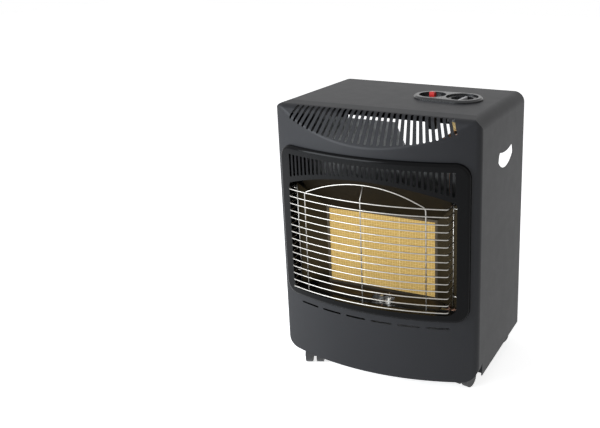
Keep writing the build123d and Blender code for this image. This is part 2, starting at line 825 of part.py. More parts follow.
# Lower reflector: a sill below the plaques, notched for the pilot
sill_z = frame_bottom - seat_gap
sill_front_y = plaque_y - sill_reach
sill_path = [
    (plaque_y + frame_return, sill_z),
    (plaque_y - sheet, sill_z),
    (sill_front_y, sill_z - sill_fall),
    (sill_front_y, sill_z - sill_fall - sill_lip),
]
pilot_y = plaque_y - pilot_reach
bracket_y = pilot_y + pilot_radius + seat_gap
with BuildPart() as lower_reflector:
    add(folded_strip(sill_path, (-sill_half_width, sill_half_width), sheet, Side.LEFT))
    with BuildSketch(Plane.XY.offset(sill_z)):
        with Locations((pilot_notch_x, (sill_front_y + bracket_y) / 2 - sheet)):
            Rectangle(pilot_notch_width, bracket_y - sill_front_y + 2 * sheet)
    extrude(amount=4 * sill_lip, both=True, mode=Mode.SUBTRACT)
lower_reflector.part.label = "lower_reflector"
export_step(lower_reflector.part, "parts/lower_reflector.step")

# ---------------------------------------------------------------------------
# Base tray, heat shield and back
# ---------------------------------------------------------------------------

# Base tray: the floor of the cabinet, with low walls; its front corners clear the panel
tray_z = panel_z + tray_gap
tray_top = tray_z + tray_sheet
tray_rim = tray_z + tray_wall
inner_half = half_width - sheet - seat_gap
tray_back = flange_face_y - sheet - seat_gap
tray_front_y = seam_y - tray_front
tray_corner_y = seam_y + sheet + seat_gap

with BuildPart() as base_tray:
    with BuildSketch(Plane.XY.offset(tray_z)) as tray_outline:
        with BuildLine():
            tongue_half = half_width - foot_radius
            right_side = Polyline(
                (0, tray_front_y),
                (tongue_half, tray_front_y),
                (tongue_half, tray_corner_y),
                (inner_half, tray_corner_y),
                (inner_half, tray_back),
                (0, tray_back),
            )
            mirror(right_side, about=Plane.YZ)
        make_face()
    extrude(amount=tray_wall)
    tray_inside = offset(tray_outline.sketch, amount=-tray_sheet, kind=Kind.INTERSECTION, mode=Mode.PRIVATE)
    extrude(tray_inside.moved(Location((0, 0, tray_sheet))), amount=tray_wall, mode=Mode.SUBTRACT)
    for inset, height, mode in (
        (0, tray_sheet + rest_rise, Mode.ADD),
        (tray_sheet, rest_rise, Mode.SUBTRACT),
    ):
        with BuildSketch(Plane.XY.offset(tray_z)):
            with Locations((0, controls_y)):
                Rectangle(rest_width - 2 * inset, rest_depth - 2 * inset)
        extrude(amount=height, mode=mode)
base_tray.part.label = "base_tray"
export_step(base_tray.part, "parts/base_tray.step")

# Heat shield between the burner and the bottle bay, cut away for the gas pipes
shield_y = box_back_y + seat_gap
shield_half = inner_half - tray_sheet - seat_gap
with BuildPart() as heat_shield:
    with BuildSketch(Plane.XZ.offset(-shield_y - sheet)):
        with BuildLine():
            Polyline(
                (-shield_half, tray_top),
                (shield_half, tray_top),
                (shield_half, panel_z + shield_cut_level),
                (shield_cut_end, panel_z + shield_cut_level),
                (shield_cut_start, panel_z + shield_top),
                (-shield_half, panel_z + shield_top),
                close=True,
            )
        make_face()
        with Locations((0, panel_z + shield_vent_level)):
            with GridLocations(low_slot_pitch, 0, low_slots, 1):
                Rectangle(low_slot_length, shield_vent_height, mode=Mode.SUBTRACT)
    extrude(amount=sheet)
    with BuildSketch(Plane.XY.offset(tray_top)):
        with Locations((0, shield_y + shield_flange / 2)):
            Rectangle(2 * shield_half, shield_flange)
    extrude(amount=sheet)
    for side, flange_top in ((-1, shield_top), (1, shield_cut_level)):
        with BuildSketch(Plane.XY.offset(tray_top)):
            with Locations((side * (shield_half - sheet / 2), shield_y + shield_flange / 2)):
                Rectangle(sheet, shield_flange)
        extrude(amount=panel_z + flange_top - tray_top)
heat_shield.part.label = "heat_shield"
export_step(heat_shield.part, "parts/heat_shield.step")

# Rear apron: the fixed strip across the top of the open back
apron_top = top_z - sheet - seat_gap
apron_bottom = top_z - apron_depth
with BuildPart() as rear_apron:
    with BuildSketch(Plane.XZ.offset(-sheet_back_y)) as apron_outline:
        with Locations((0, (apron_bottom + apron_top) / 2)):
            Rectangle(2 * inner_half, apron_top - apron_bottom)
        fillet(apron_outline.vertices().group_by(Axis.Y)[-1], cabinet_radius)
        with Locations(*apron_screws):
            RegularPolygon(screw_radius + seat_gap, screw_sides, major_radius=False, mode=Mode.SUBTRACT)
    extrude(amount=sheet)
    with BuildSketch(Plane.XY.offset(apron_bottom)):
        with Locations((0, sheet_back_y - sheet - back_flange / 2)):
            Rectangle(2 * (inner_half - back_flange - sheet), back_flange)
    extrude(amount=sheet)
rear_apron.part.label = "rear_apron"
export_step(rear_apron.part, "parts/rear_apron.step")

with BuildPart() as apron_screw_set:
    with BuildSketch(Plane.XZ.offset(-sheet_back_y)):
        with Locations(*apron_screws):
            RegularPolygon(screw_radius, screw_sides)
    extrude(amount=screw_length)
    with BuildSketch(Plane.XZ.offset(-sheet_back_y)):
        with Locations(*apron_screws):
            RegularPolygon(screw_head_radius, screw_sides)
    extrude(amount=-screw_head_height)
apron_screw_set.part.label = "apron_screws"
export_step(apron_screw_set.part, "parts/apron_screws.step")

# Rear cover: lifts off, hooked over the back wall of the tray
cover_half = half_width - sheet - cover_clearance
cover_bottom = panel_z + cover_clearance
cover_top = cover_bottom + cover_height
hook_z = tray_rim + seat_gap
hook_finger_y = tray_back - tray_sheet - seat_gap
hook_path = [
    (sheet_back_y - sheet, hook_z),
    (hook_finger_y, hook_z),
    (hook_finger_y, hook_z - hook_drop),
]
with BuildPart() as rear_cover:
    with BuildSketch(Plane.XZ.offset(-sheet_back_y)) as cover_outline:
        with Locations((0, (cover_bottom + cover_top) / 2)):
            Rectangle(2 * cover_half, cover_height)
        with Locations((0, cover_top - 2 * finger_slot_height)):
            SlotOverall(finger_slot_length, finger_slot_height, mode=Mode.SUBTRACT)
        with BuildSketch(mode=Mode.PRIVATE) as cover_vent:
            with Locations((0, cover_bottom + cover_vent_level)):
                with GridLocations(cover_vent_pitch, 0, cover_vents, 1):
                    Rectangle(cover_vent_width, cover_vent_height)
            chamfer(cover_vent.vertices(), cover_vent_width * slot_corner)
        add(cover_vent.sketch, mode=Mode.SUBTRACT)
    extrude(amount=sheet)
    with BuildSketch(Plane.XY.offset(cover_top - sheet)):
        with Locations((0, sheet_back_y - sheet - cover_lap / 2)):
            Rectangle(2 * (cover_half - back_flange - sheet), cover_lap)
    extrude(amount=sheet)
    for side in (-1, 1):
        hook_span = (side * hook_spread - hook_width / 2, side * hook_spread + hook_width / 2)
        add(folded_strip(hook_path, hook_span, tray_sheet, Side.RIGHT))
rear_cover.part.label = "rear_cover"
export_step(rear_cover.part, "parts/rear_cover.step")

# ---------------------------------------------------------------------------
# Controls in the top of the cabinet
# ---------------------------------------------------------------------------

valve_top = top_z - valve_drop
valve_bottom = valve_top - valve_height
knob_floor = top_z - knob_well_depth
knob_bottom = knob_floor + knob_gap
knob_top = top_z + knob_rise
dish_z = knob_top - knob_dish_depth
spindle_top = dish_z - knob_cover
button_floor = top_z - button_well_depth
button_bottom = button_floor - well_floor - button_gap
button_top = top_z + button_rise
guide_top = button_floor - well_floor - seat_gap
guide_floor = button_bottom - button_travel - button_gap
guide_bottom = guide_floor - igniter_wall
button_hole = button_size + 2 * button_fit


def disc(x, z, radius, height, mode=Mode.ADD):
    """Upright cylinder on the controls' centre line, standing at z."""
    with BuildSketch(Plane.XY.offset(z)) as outline:
        with Locations((x, controls_y)):
            Circle(radius)
    extrude(outline.sketch, amount=height, mode=mode)


def square(z, size, height, mode=Mode.ADD):
    """Square prism under the button, standing at z."""
    with BuildSketch(Plane.XY.offset(z)) as outline:
        with Locations((button_x, controls_y)):
            Rectangle(size, size)
    extrude(outline.sketch, amount=height, mode=mode)


# Escutcheon: one moulding with a well for the knob and a well for the button
with BuildPart() as control_escutcheon:
    extrude(escutcheon_outline.sketch, amount=escutcheon_height)
    rim = control_escutcheon.faces().sort_by(Axis.Z)[-1]
    chamfer(rim.edges(), escutcheon_edge)
    spigot_inset = -escutcheon_inset - seat_gap
    spigot = offset(escutcheon_outline.sketch, amount=spigot_inset, mode=Mode.PRIVATE)
    extrude(spigot, amount=-escutcheon_spigot)
    disc(knob_x, knob_floor, knob_radius + knob_well_gap, through, Mode.SUBTRACT)
    disc(knob_x, valve_top, spindle_radius + knob_gap, through, Mode.SUBTRACT)
    disc(button_x, button_floor, button_well_radius, through, Mode.SUBTRACT)
    square(guide_bottom, button_hole, through, Mode.SUBTRACT)
    square(guide_bottom, igniter_head + 2 * seat_gap, button_floor - well_floor - guide_bottom, Mode.SUBTRACT)
control_escutcheon.part.label = "control_escutcheon"
export_step(control_escutcheon.part, "parts/control_escutcheon.step")

with BuildPart() as gas_valve:
    with BuildSketch(Plane.XY.offset(valve_bottom)):
        with Locations((knob_x, controls_y)):
            Rectangle(valve_width, valve_depth)
    extrude(amount=valve_height)
    chamfer(gas_valve.edges().filter_by(Axis.Z), well_floor)
    disc(knob_x, valve_top, valve_neck_radius, valve_neck)
    disc(knob_x, valve_bottom + valve_neck, spindle_radius + spindle_fit, through, Mode.SUBTRACT)
gas_valve.part.label = "gas_valve"
export_step(gas_valve.part, "parts/gas_valve.step")

# Bracket: hangs the valve under the top sheet, its feet spot-welded to it
bracket_foot_y = knob_lobe + seat_gap
bracket_foot_z = top_z - sheet - seat_gap
bracket_web_z = valve_top + seat_gap + sheet
bracket_path = [
    (controls_y - bracket_foot_y - valve_flange, bracket_foot_z),
    (controls_y - bracket_foot_y, bracket_foot_z),
    (controls_y - bracket_foot_y, bracket_web_z),
    (controls_y + bracket_foot_y, bracket_web_z),
    (controls_y + bracket_foot_y, bracket_foot_z),
    (controls_y + bracket_foot_y + valve_flange, bracket_foot_z),
]
with BuildPart() as valve_bracket:
    bracket_span = (knob_x - valve_depth / 2, knob_x + valve_depth / 2)
    add(folded_strip(bracket_path, bracket_span, sheet, Side.RIGHT))
    disc(knob_x, valve_bottom, valve_neck_radius + seat_gap, valve_drop, Mode.SUBTRACT)
valve_bracket.part.label = "valve_bracket"
export_step(valve_bracket.part, "parts/valve_bracket.step")

# Hose nozzle: hexagon under the valve, then a barbed tail for the gas hose
barb_pitch = (nozzle_length - nozzle_land) / (nozzle_barbs + 1)
nozzle_tip = valve_bottom - nozzle_hex_height - nozzle_length
barb_taper = degrees(atan2(nozzle_barb_rise, barb_pitch))


def nozzle_section(z, radius, height, taper=0, mode=Mode.ADD):
    """Upright many-sided bar on the valve's centre line, from z, narrowed by so many degrees."""
    with BuildSketch(Plane.XY.offset(z)) as outline:
        with Locations((knob_x, controls_y)):
            RegularPolygon(radius, nozzle_sides)
    extrude(outline.sketch, amount=height, taper=taper, mode=mode)


with BuildPart() as hose_nozzle:
    with BuildSketch(Plane.XY.offset(valve_bottom - nozzle_hex_height)):
        with Locations((knob_x, controls_y)):
            RegularPolygon(nozzle_hex / 2, 6, major_radius=False)
    extrude(amount=nozzle_hex_height)
    nozzle_section(valve_bottom - nozzle_hex_height, nozzle_radius, -nozzle_length)
    for step in range(nozzle_barbs):
        barb_top = valve_bottom - nozzle_hex_height - (step + 1) * barb_pitch
        nozzle_section(barb_top, nozzle_radius + nozzle_barb_rise, -barb_pitch, barb_taper)
    disc(knob_x, nozzle_tip, nozzle_radius + nozzle_barb_rise, nozzle_land)
    bore_depth = nozzle_hex_height + nozzle_length
    nozzle_section(valve_bottom, nozzle_bore, -bore_depth, 0, Mode.SUBTRACT)
hose_nozzle.part.label = "hose_nozzle"
export_step(hose_nozzle.part, "parts/hose_nozzle.step")

with BuildPart() as valve_spindle:
    disc(knob_x, valve_bottom + valve_neck, spindle_radius, spindle_top - valve_bottom - valve_neck)
valve_spindle.part.label = "valve_spindle"
export_step(valve_spindle.part, "parts/valve_spindle.step")

with BuildPart() as control_knob:
    disc(knob_x, knob_bottom, knob_radius, knob_top - knob_bottom)
    chamfer(control_knob.edges().group_by(Axis.Z)[-1], knob_edge)
    disc(knob_x, dish_z, knob_dish_radius, knob_dish_depth, Mode.SUBTRACT)
    disc(knob_x, knob_bottom, spindle_radius + spindle_fit, spindle_top - knob_bottom, Mode.SUBTRACT)
control_knob.part.label = "control_knob"
export_step(control_knob.part, "parts/control_knob.step")

with BuildPart() as knob_grip:
    with BuildSketch(Plane.XY.offset(dish_z)):
        with Locations((knob_x, controls_y)):
            Rectangle(grip_width, grip_length, rotation=grip_turn)
    extrude(amount=grip_height)
    chamfer(knob_grip.faces().sort_by(Axis.Z)[-1].edges(), grip_edge)
knob_grip.part.label = "knob_grip"
export_step(knob_grip.part, "parts/knob_grip.step")

# Piezo igniter and its push button, which slides down in the igniter's guide
with BuildPart() as piezo_igniter:
    square(guide_bottom, igniter_head, guide_top - guide_bottom)
    disc(button_x, guide_bottom, igniter_radius, -igniter_length)
    square(guide_floor, button_hole, guide_top - guide_floor, Mode.SUBTRACT)
    stem_bore_depth = stem_length + button_gap
    disc(button_x, guide_floor, stem_radius + spindle_fit, -stem_bore_depth, Mode.SUBTRACT)
piezo_igniter.part.label = "piezo_igniter"
export_step(piezo_igniter.part, "parts/piezo_igniter.step")

with BuildPart() as piezo_button:
    square(button_bottom, button_size, button_top - button_bottom)
    chamfer(piezo_button.faces().sort_by(Axis.Z)[-1].edges(), button_edge)
    disc(button_x, button_bottom, stem_radius, -stem_length)
piezo_button.part.label = "piezo_button"
export_step(piezo_button.part, "parts/piezo_button.step")

# ---------------------------------------------------------------------------
# Gas train: mixer tube, injector, pipes and pilot
# ---------------------------------------------------------------------------

mixer_z = box_bottom - mixer_drop
mixer_end_x = mixer_bend + mixer_length
injector_x = mixer_end_x + bell_length + injector_gap
injector_end_x = injector_x + injector_length

with BuildPart() as mixer_tube:
    mixer_path = [
        (0, mixer_y, box_bottom + burner_wall + burner_ledge),
        (0, mixer_y, mixer_z),
        (mixer_end_x, mixer_y, mixer_z),
    ]
    add(rod(mixer_path, mixer_bend, mixer_radius, pipe_sides, mixer_radius - mixer_wall))
    with BuildSketch(Plane.YZ.offset(mixer_end_x)):
        with Locations((mixer_y, mixer_z)):
            RegularPolygon(bell_radius, pipe_sides)
            RegularPolygon(mixer_radius - mixer_wall, pipe_sides, mode=Mode.SUBTRACT)
    extrude(amount=mixer_wall)
    with BuildSketch(Plane.YZ.offset(mixer_end_x)):
        with Locations((mixer_y, mixer_z)):
            RegularPolygon(bell_radius, pipe_sides)
            RegularPolygon(bell_radius - mixer_wall, pipe_sides, mode=Mode.SUBTRACT)
    extrude(amount=bell_length)
mixer_tube.part.label = "mixer_tube"
export_step(mixer_tube.part, "parts/mixer_tube.step")

with BuildPart() as gas_injector:
    with BuildSketch(Plane.YZ.offset(injector_x)):
        with Locations((mixer_y, mixer_z)):
            RegularPolygon(injector_radius, 6)
    extrude(amount=injector_length)
gas_injector.part.label = "gas_injector"
export_step(gas_injector.part, "parts/gas_injector.step")

# Supply pipe: valve to injector, down the right-hand side of the burner
valve_front_y = controls_y - valve_depth / 2
supply_path = [
    (knob_x + pipe_spread, valve_front_y, valve_bottom + valve_height / 2),
    (knob_x + pipe_spread, mixer_y, valve_bottom + valve_height / 2),
    (supply_x, mixer_y, valve_bottom + valve_height / 2),
    (supply_x, mixer_y, mixer_z),
    (injector_end_x, mixer_y, mixer_z),
]
with BuildPart() as supply_pipe:
    add(rod(supply_path, supply_bend, supply_radius, pipe_sides))
supply_pipe.part.label = "supply_pipe"
export_step(supply_pipe.part, "parts/supply_pipe.step")

# Pilot burner, thermocouple and spark electrode, all on one folded bracket
sill_drop = sill_fall * (plaque_y - bracket_y) / sill_reach
bracket_top = sill_z - sill_drop - sheet - 2 * seat_gap
shelf_z = bracket_top - bracket_height
shelf_half = (pilot_notch_width + bracket_edge) / 2
shelf_front_y = pilot_y - bracket_edge
pilot_parts = (
    (pilot_x, pilot_pipe_radius),
    (probe_x, probe_radius),
    (electrode_x, insulator_radius),
)


def pilot_rod(x, z, radius, height):
    """Upright round piece on the pilot bracket."""
    with BuildSketch(Plane.XY.offset(z)) as outline:
        with Locations((x, pilot_y)):
            Circle(radius)
    extrude(outline.sketch, amount=height)


with BuildPart() as pilot_bracket:
    with BuildSketch(Plane.XZ.offset(-bracket_y - sheet)):
        with Locations((pilot_notch_x, (bracket_top + shelf_z) / 2)):
            Rectangle(2 * shelf_half, bracket_height)
    extrude(amount=sheet)
    with BuildSketch(Plane.XY.offset(shelf_z)):
        with Locations((pilot_notch_x, (shelf_front_y + bracket_y) / 2)):
            Rectangle(2 * shelf_half, bracket_y - shelf_front_y)
        for x, radius in pilot_parts:
            with Locations((x, pilot_y)):
                Circle(radius + seat_gap, mode=Mode.SUBTRACT)
    extrude(amount=sheet)
pilot_bracket.part.label = "pilot_bracket"
export_step(pilot_bracket.part, "parts/pilot_bracket.step")

with BuildPart() as pilot_burner:
    pilot_rod(pilot_x, shelf_z + sheet + seat_gap, pilot_radius, pilot_height)
pilot_burner.part.label = "pilot_burner"
export_step(pilot_burner.part, "parts/pilot_burner.step")

with BuildPart() as thermocouple_probe:
    pilot_rod(probe_x, shelf_z - probe_drop, probe_radius, probe_height)
thermocouple_probe.part.label = "thermocouple_probe"
export_step(thermocouple_probe.part, "parts/thermocouple_probe.step")

with BuildPart() as electrode_insulator:
    pilot_rod(electrode_x, shelf_z - insulator_height / 2, insulator_radius, 1.5 * insulator_height)
electrode_insulator.part.label = "electrode_insulator"
export_step(electrode_insulator.part, "parts/electrode_insulator.step")

with BuildPart() as spark_electrode:
    pilot_rod(electrode_x, shelf_z + insulator_height, electrode_radius, electrode_height)
spark_electrode.part.label = "spark_electrode"
export_step(spark_electrode.part, "parts/spark_electrode.step")

pilot_pipe_y = plaque_y + frame_return + 2 * pilot_pipe_radius
pilot_pipe_path = [
    (knob_x - pipe_spread, valve_front_y, valve_bottom + pipe_spread),
    (knob_x - pipe_spread, pilot_pipe_y, valve_bottom + pipe_spread),
    (pilot_pipe_x, pilot_pipe_y, valve_bottom + pipe_spread),
    (pilot_pipe_x, pilot_pipe_y, shelf_z - pilot_pipe_drop),
    (pilot_pipe_x, pilot_y, shelf_z - pilot_pipe_drop),
    (pilot_x, pilot_y, shelf_z - pilot_pipe_drop),
    (pilot_x, pilot_y, shelf_z + sheet + seat_gap),
]
with BuildPart() as pilot_pipe:
    add(rod(pilot_pipe_path, pilot_pipe_bend, pilot_pipe_radius, pipe_sides))
pilot_pipe.part.label = "pilot_pipe"
export_step(pilot_pipe.part, "parts/pilot_pipe.step")

# ---------------------------------------------------------------------------
# Castors: plate and pin, swivelling hood, pair of wheels on one axle
# ---------------------------------------------------------------------------

pivot_x = half_width - castor_inset_x
front_pivot_y = seam_y + castor_front_y
rear_pivot_y = seam_y + castor_rear_y
castors = {
    "front_left": (-pivot_x, front_pivot_y, front_left_trail),
    "front_right": (pivot_x, front_pivot_y, front_right_trail),
    "rear_left": (-pivot_x, rear_pivot_y, rear_left_trail),
    "rear_right": (pivot_x, rear_pivot_y, rear_right_trail),
}
plate_z = tray_z - seat_gap - castor_plate_thickness
hood_top = panel_z - castor_hood_gap
pin_length = plate_z - hood_top + pin_depth
wheel_inner = fork_width / 2 + wheel_side_gap
wheel_outer = wheel_inner + wheel_width
tread_clear = wheel_radius + hood_gap

with BuildPart() as castor_plates:
    with BuildSketch(Plane.XY.offset(plate_z)):
        with Locations(*[(x, y) for x, y, _ in castors.values()]):
            Rectangle(castor_plate_size, castor_plate_size)
    extrude(amount=castor_plate_thickness)
    with BuildSketch(Plane.XY.offset(plate_z)):
        with Locations(*[(x, y) for x, y, _ in castors.values()]):
            Circle(castor_pin_radius)
    extrude(amount=-pin_length)
castor_plates.part.label = "castor_plates"
export_step(castor_plates.part, "parts/castor_plates.step")

for place, (x, y, trail_angle) in castors.items():
    trail_x = cos(radians(trail_angle))
    trail_y = sin(radians(trail_angle))
    # seen from the side: first axis along the trail, second axis up
    side_view = Plane(origin=(x, y, 0), x_dir=(trail_x, trail_y, 0), z_dir=(trail_y, -trail_x, 0))
    wheel_centre = (castor_trail, wheel_radius)

    with BuildPart() as castor_hood:
        with BuildSketch(side_view):
            with BuildLine():
                Polyline(
                    (-hub_size / 2, hood_top),
                    (hub_size / 2, hood_top),
                    (hub_size / 2, wheel_radius),
                    (-hub_size / 2, hood_top - pin_depth),
                    close=True,
                )
            make_face()
        extrude(amount=hub_size / 2, both=True)
        with BuildSketch(side_view):
            with Locations(wheel_centre):
                RegularPolygon(tread_clear, wheel_sides, major_radius=False)
        extrude(amount=hub_size, both=True, mode=Mode.SUBTRACT)
        with BuildSketch(side_view) as fender:
            with Locations(wheel_centre):
                RegularPolygon(tread_clear + hood_wall, wheel_sides, major_radius=False)
                RegularPolygon(tread_clear, wheel_sides, major_radius=False, mode=Mode.SUBTRACT)
            with Locations((castor_trail - tread_clear, wheel_radius)):
                Rectangle(tread_clear, 4 * wheel_radius, mode=Mode.SUBTRACT)
            with Locations((castor_trail, 0)):
                Rectangle(4 * wheel_radius, 2 * fender_level, mode=Mode.SUBTRACT)
        extrude(amount=wheel_outer, both=True)
        with BuildSketch(side_view):
            with BuildLine():
                Polyline(
                    (-hub_size / 2, hood_top),
                    (castor_trail, tread_clear + wheel_radius + hood_wall / 2),
                    (castor_trail + axle_boss, wheel_radius),
                    (castor_trail, wheel_radius - axle_boss),
                    (-hub_size / 2, hood_top - pin_depth),
                    close=True,
                )
            make_face()
            with Locations(wheel_centre):
                Circle(axle_radius + wheel_fit, mode=Mode.SUBTRACT)
        extrude(amount=fork_width / 2, both=True)
        with Locations((x, y, hood_top - pin_depth / 2)):
            Cylinder(castor_pin_radius + wheel_fit, pin_depth, mode=Mode.SUBTRACT)
    castor_hood.part.label = f"castor_hood_{place}"
    export_step(castor_hood.part, f"parts/castor_hood_{place}.step")

    with BuildPart() as castor_wheels:
        with BuildSketch(side_view):
            with Locations(wheel_centre):
                Circle(axle_radius)
        extrude(amount=wheel_outer, both=True)
        for side in (-1, 1):
            with BuildSketch(side_view.offset(side * wheel_inner)):
                with Locations(wheel_centre):
                    RegularPolygon(wheel_radius, wheel_sides)
            extrude(amount=side * wheel_width)
    castor_wheels.part.label = f"castor_wheels_{place}"
    export_step(castor_wheels.part, f"parts/castor_wheels_{place}.step")
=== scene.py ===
# %% [markdown]
# # A portable gas cabinet heater
# The sheet metal, burner, controls and castors come ready made and packed. This script
# dresses them: each piece gets a finish that is worked out by nodes, small trim is modelled
# on top, and a floor, lamps and a camera make the picture. Everything is in metres.

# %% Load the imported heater
import json
from math import asin, atan2, cos, hypot, pi, radians, sin, sqrt, tan

import bmesh
import bpy
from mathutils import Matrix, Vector


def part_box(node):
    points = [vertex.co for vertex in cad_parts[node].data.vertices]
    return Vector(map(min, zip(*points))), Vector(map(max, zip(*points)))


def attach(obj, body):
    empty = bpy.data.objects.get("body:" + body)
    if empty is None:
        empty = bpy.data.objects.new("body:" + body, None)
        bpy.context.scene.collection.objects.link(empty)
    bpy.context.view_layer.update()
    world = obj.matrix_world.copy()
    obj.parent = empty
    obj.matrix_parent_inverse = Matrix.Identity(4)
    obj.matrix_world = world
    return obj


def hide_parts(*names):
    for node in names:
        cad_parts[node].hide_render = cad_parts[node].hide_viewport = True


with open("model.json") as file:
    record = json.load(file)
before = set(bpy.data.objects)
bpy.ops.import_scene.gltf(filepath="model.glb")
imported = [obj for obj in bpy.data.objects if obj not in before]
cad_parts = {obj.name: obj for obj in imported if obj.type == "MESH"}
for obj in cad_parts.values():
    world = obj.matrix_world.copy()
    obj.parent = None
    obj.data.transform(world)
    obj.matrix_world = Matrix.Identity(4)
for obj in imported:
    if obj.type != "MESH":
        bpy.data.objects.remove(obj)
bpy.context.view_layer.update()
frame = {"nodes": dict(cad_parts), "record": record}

# %% [markdown]
# ## Camera
# The heater is seen from the right and from above. A shifted lens keeps the uprights as
# steep as they are in the photograph, which a turned camera would not.

# %% Place the camera
image_width = 600
image_height = 428
sensor_width = 36.0
focal_pixels = 802.0
principal_point = (436, 168)  # pixels, from the upper left
camera_place = Vector((0.6597, -1.42429, 0.89553))
camera_yaw = radians(21.976)
camera_pitch = radians(16.619)

camera_data = bpy.data.cameras.new("camera")
camera_data.sensor_width = sensor_width
camera_data.lens = focal_pixels / image_width * sensor_width
camera_data.shift_x = 0.5 - principal_point[0] / image_width
camera_data.shift_y = (principal_point[1] - image_height / 2) / image_width
camera = bpy.data.objects.new("camera", camera_data)
bpy.context.collection.objects.link(camera)
camera.location = camera_place
looking = Vector((
    -sin(camera_yaw) * cos(camera_pitch),
    cos(camera_yaw) * cos(camera_pitch),
    -sin(camera_pitch),
))
camera.rotation_mode = "QUATERNION"
camera.rotation_quaternion = looking.to_track_quat("-Z", "Y")
bpy.context.scene.camera = camera
bpy.context.scene.view_settings.view_transform = "Standard"
print("lens:", round(camera_data.lens, 2), "mm")

# %% [markdown]
# ## Shader maths as Python
# A finish is a small calculation for each point of a surface. Wrapping a node's output in a
# class whose operators add Math nodes lets that calculation be read as a formula. Colours
# are blended by Mix nodes instead, because a Math node would turn them grey.

# %% A socket that can be calculated with
class Socket:
    """Output of a node. Its operators add Math nodes."""

    def __init__(self, finish, output):
        self.finish = finish
        self.output = output

    def __add__(self, other):
        return self.finish.maths("ADD", self, other)

    def __radd__(self, other):
        return self.finish.maths("ADD", other, self)

    def __sub__(self, other):
        return self.finish.maths("SUBTRACT", self, other)

    def __rsub__(self, other):
        return self.finish.maths("SUBTRACT", other, self)

    def __mul__(self, other):
        return self.finish.maths("MULTIPLY", self, other)

    def __rmul__(self, other):
        return self.finish.maths("MULTIPLY", other, self)

    def __truediv__(self, other):
        return self.finish.maths("DIVIDE", self, other)

    def __lt__(self, other):
        return self.finish.maths("LESS_THAN", self, other)


class Finish:
    """Material with a Principled surface. Sockets that vary get a link, others a value."""

    def __init__(self, name, **settings):
        self.name = name
        self.material = bpy.data.materials.new(name)
        self.material.use_nodes = True
        self.tree = self.material.node_tree
        self.surface = self.tree.nodes["Principled BSDF"]
        for socket, value in settings.items():
            self.set(socket.replace("_", " "), value)

    def set(self, socket, value):
        """Sets or links an input of the surface. Its name is matched in any case."""
        names = {item.name.lower(): item for item in self.surface.inputs}
        self.plug(value, names[socket.lower()])

    def plug(self, value, place):
        if isinstance(value, Socket):
            self.tree.links.new(value.output, place)
        else:
            place.default_value = value

    def node(self, kind, settings=None, sockets=None, output=0):
        """Adds a node: its settings first, then the values or links of its sockets."""
        made = self.tree.nodes.new(kind)
        for name, value in (settings or {}).items():
            if name == "stops":
                ramp = made.color_ramp.elements
                while len(ramp) < len(value):
                    ramp.new(1.0)
                for element, (position, colour) in zip(ramp, value):
                    element.position = position
                    element.color = colour
            else:
                setattr(made, name, value)
        for place, value in (sockets or {}).items():
            self.plug(value, made.inputs[place])
        return Socket(self, made.outputs[output])

    def maths(self, operation, *values):
        """Result of one operation on values or sockets."""
        return self.node("ShaderNodeMath", {"operation": operation}, dict(enumerate(values)))

    def place(self):
        """Point of the surface, in metres."""
        return self.node("ShaderNodeTexCoord", output="Object")

    def axes(self):
        """X, Y and Z of the point, each as a number."""
        split = self.node("ShaderNodeSeparateXYZ", sockets={0: self.place()})
        outputs = split.output.node.outputs
        return [Socket(self, outputs[axis]) for axis in range(3)]

    def noise(self, scale, detail=2.0):
        """Soft random pattern, from 0 to 1, with so many bumps to the metre."""
        sockets = {"Vector": self.place(), "Scale": scale, "Detail": detail}
        return self.node("ShaderNodeTexNoise", sockets=sockets)

    def blend(self, amount, first, second):
        """Colour between two colours."""
        sockets = {0: amount, 6: first, 7: second}
        return self.node("ShaderNodeMix", {"data_type": "RGBA"}, sockets, output=2)

    def relief(self, height, depth, strength=1.0):
        """Links a bump of so many metres to the surface."""
        sockets = {"Height": height, "Distance": depth, "Strength": strength}
        self.set("Normal", self.node("ShaderNodeBump", sockets=sockets))


def colour(red, green, blue):
    """Linear colour, opaque."""
    return (red, green, blue, 1.0)


print("shader helpers ready")

# %% [markdown]
# ## Sheet-steel paint
# The cabinet has a dark grey baked paint with a soft sheen. Baked paint is never quite
# flat: it dries with a faint orange-peel ripple. A fine noise gives that ripple through a
# bump, and a broader one lets the colour and the sheen drift a little over the sheet.

# %% Cabinet paint
paint = Finish("cabinet_paint", specular_ior_level=0.19)
drift = paint.noise(6.0)
dark_paint = colour(0.0100, 0.0103, 0.0120)
light_paint = colour(0.0135, 0.0138, 0.0158)
paint.set("base color", paint.blend(drift, dark_paint, light_paint))
paint.set("roughness", 0.44 + 0.06 * paint.noise(40.0))
paint.relief(paint.noise(900.0, 3.0), 0.00002)
print("finish:", paint.material.name)

# %% [markdown]
# ## Black enamel
# The window surround is fired enamel, close to black and much glossier than the paint.
# It shows only a slight ripple, so its reflections stay sharp along the rounded edge.

# %% Black enamel
enamel = Finish("enamel", specular_ior_level=0.07)
dark_enamel = colour(0.0025, 0.0025, 0.0028)
light_enamel = colour(0.0040, 0.0040, 0.0043)
enamel.set("base color", enamel.blend(enamel.noise(9.0), dark_enamel, light_enamel))
enamel.set("roughness", 0.12 + 0.05 * enamel.noise(60.0))
enamel.relief(enamel.noise(140.0), 0.00004)
print("finish:", enamel.material.name)

# %% [markdown]
# ## Bare and plated metals
# Every metal uses the same idea with other numbers: a tint, a roughness that varies a
# little, and fine lines where the metal was rolled or drawn. One function makes them all.

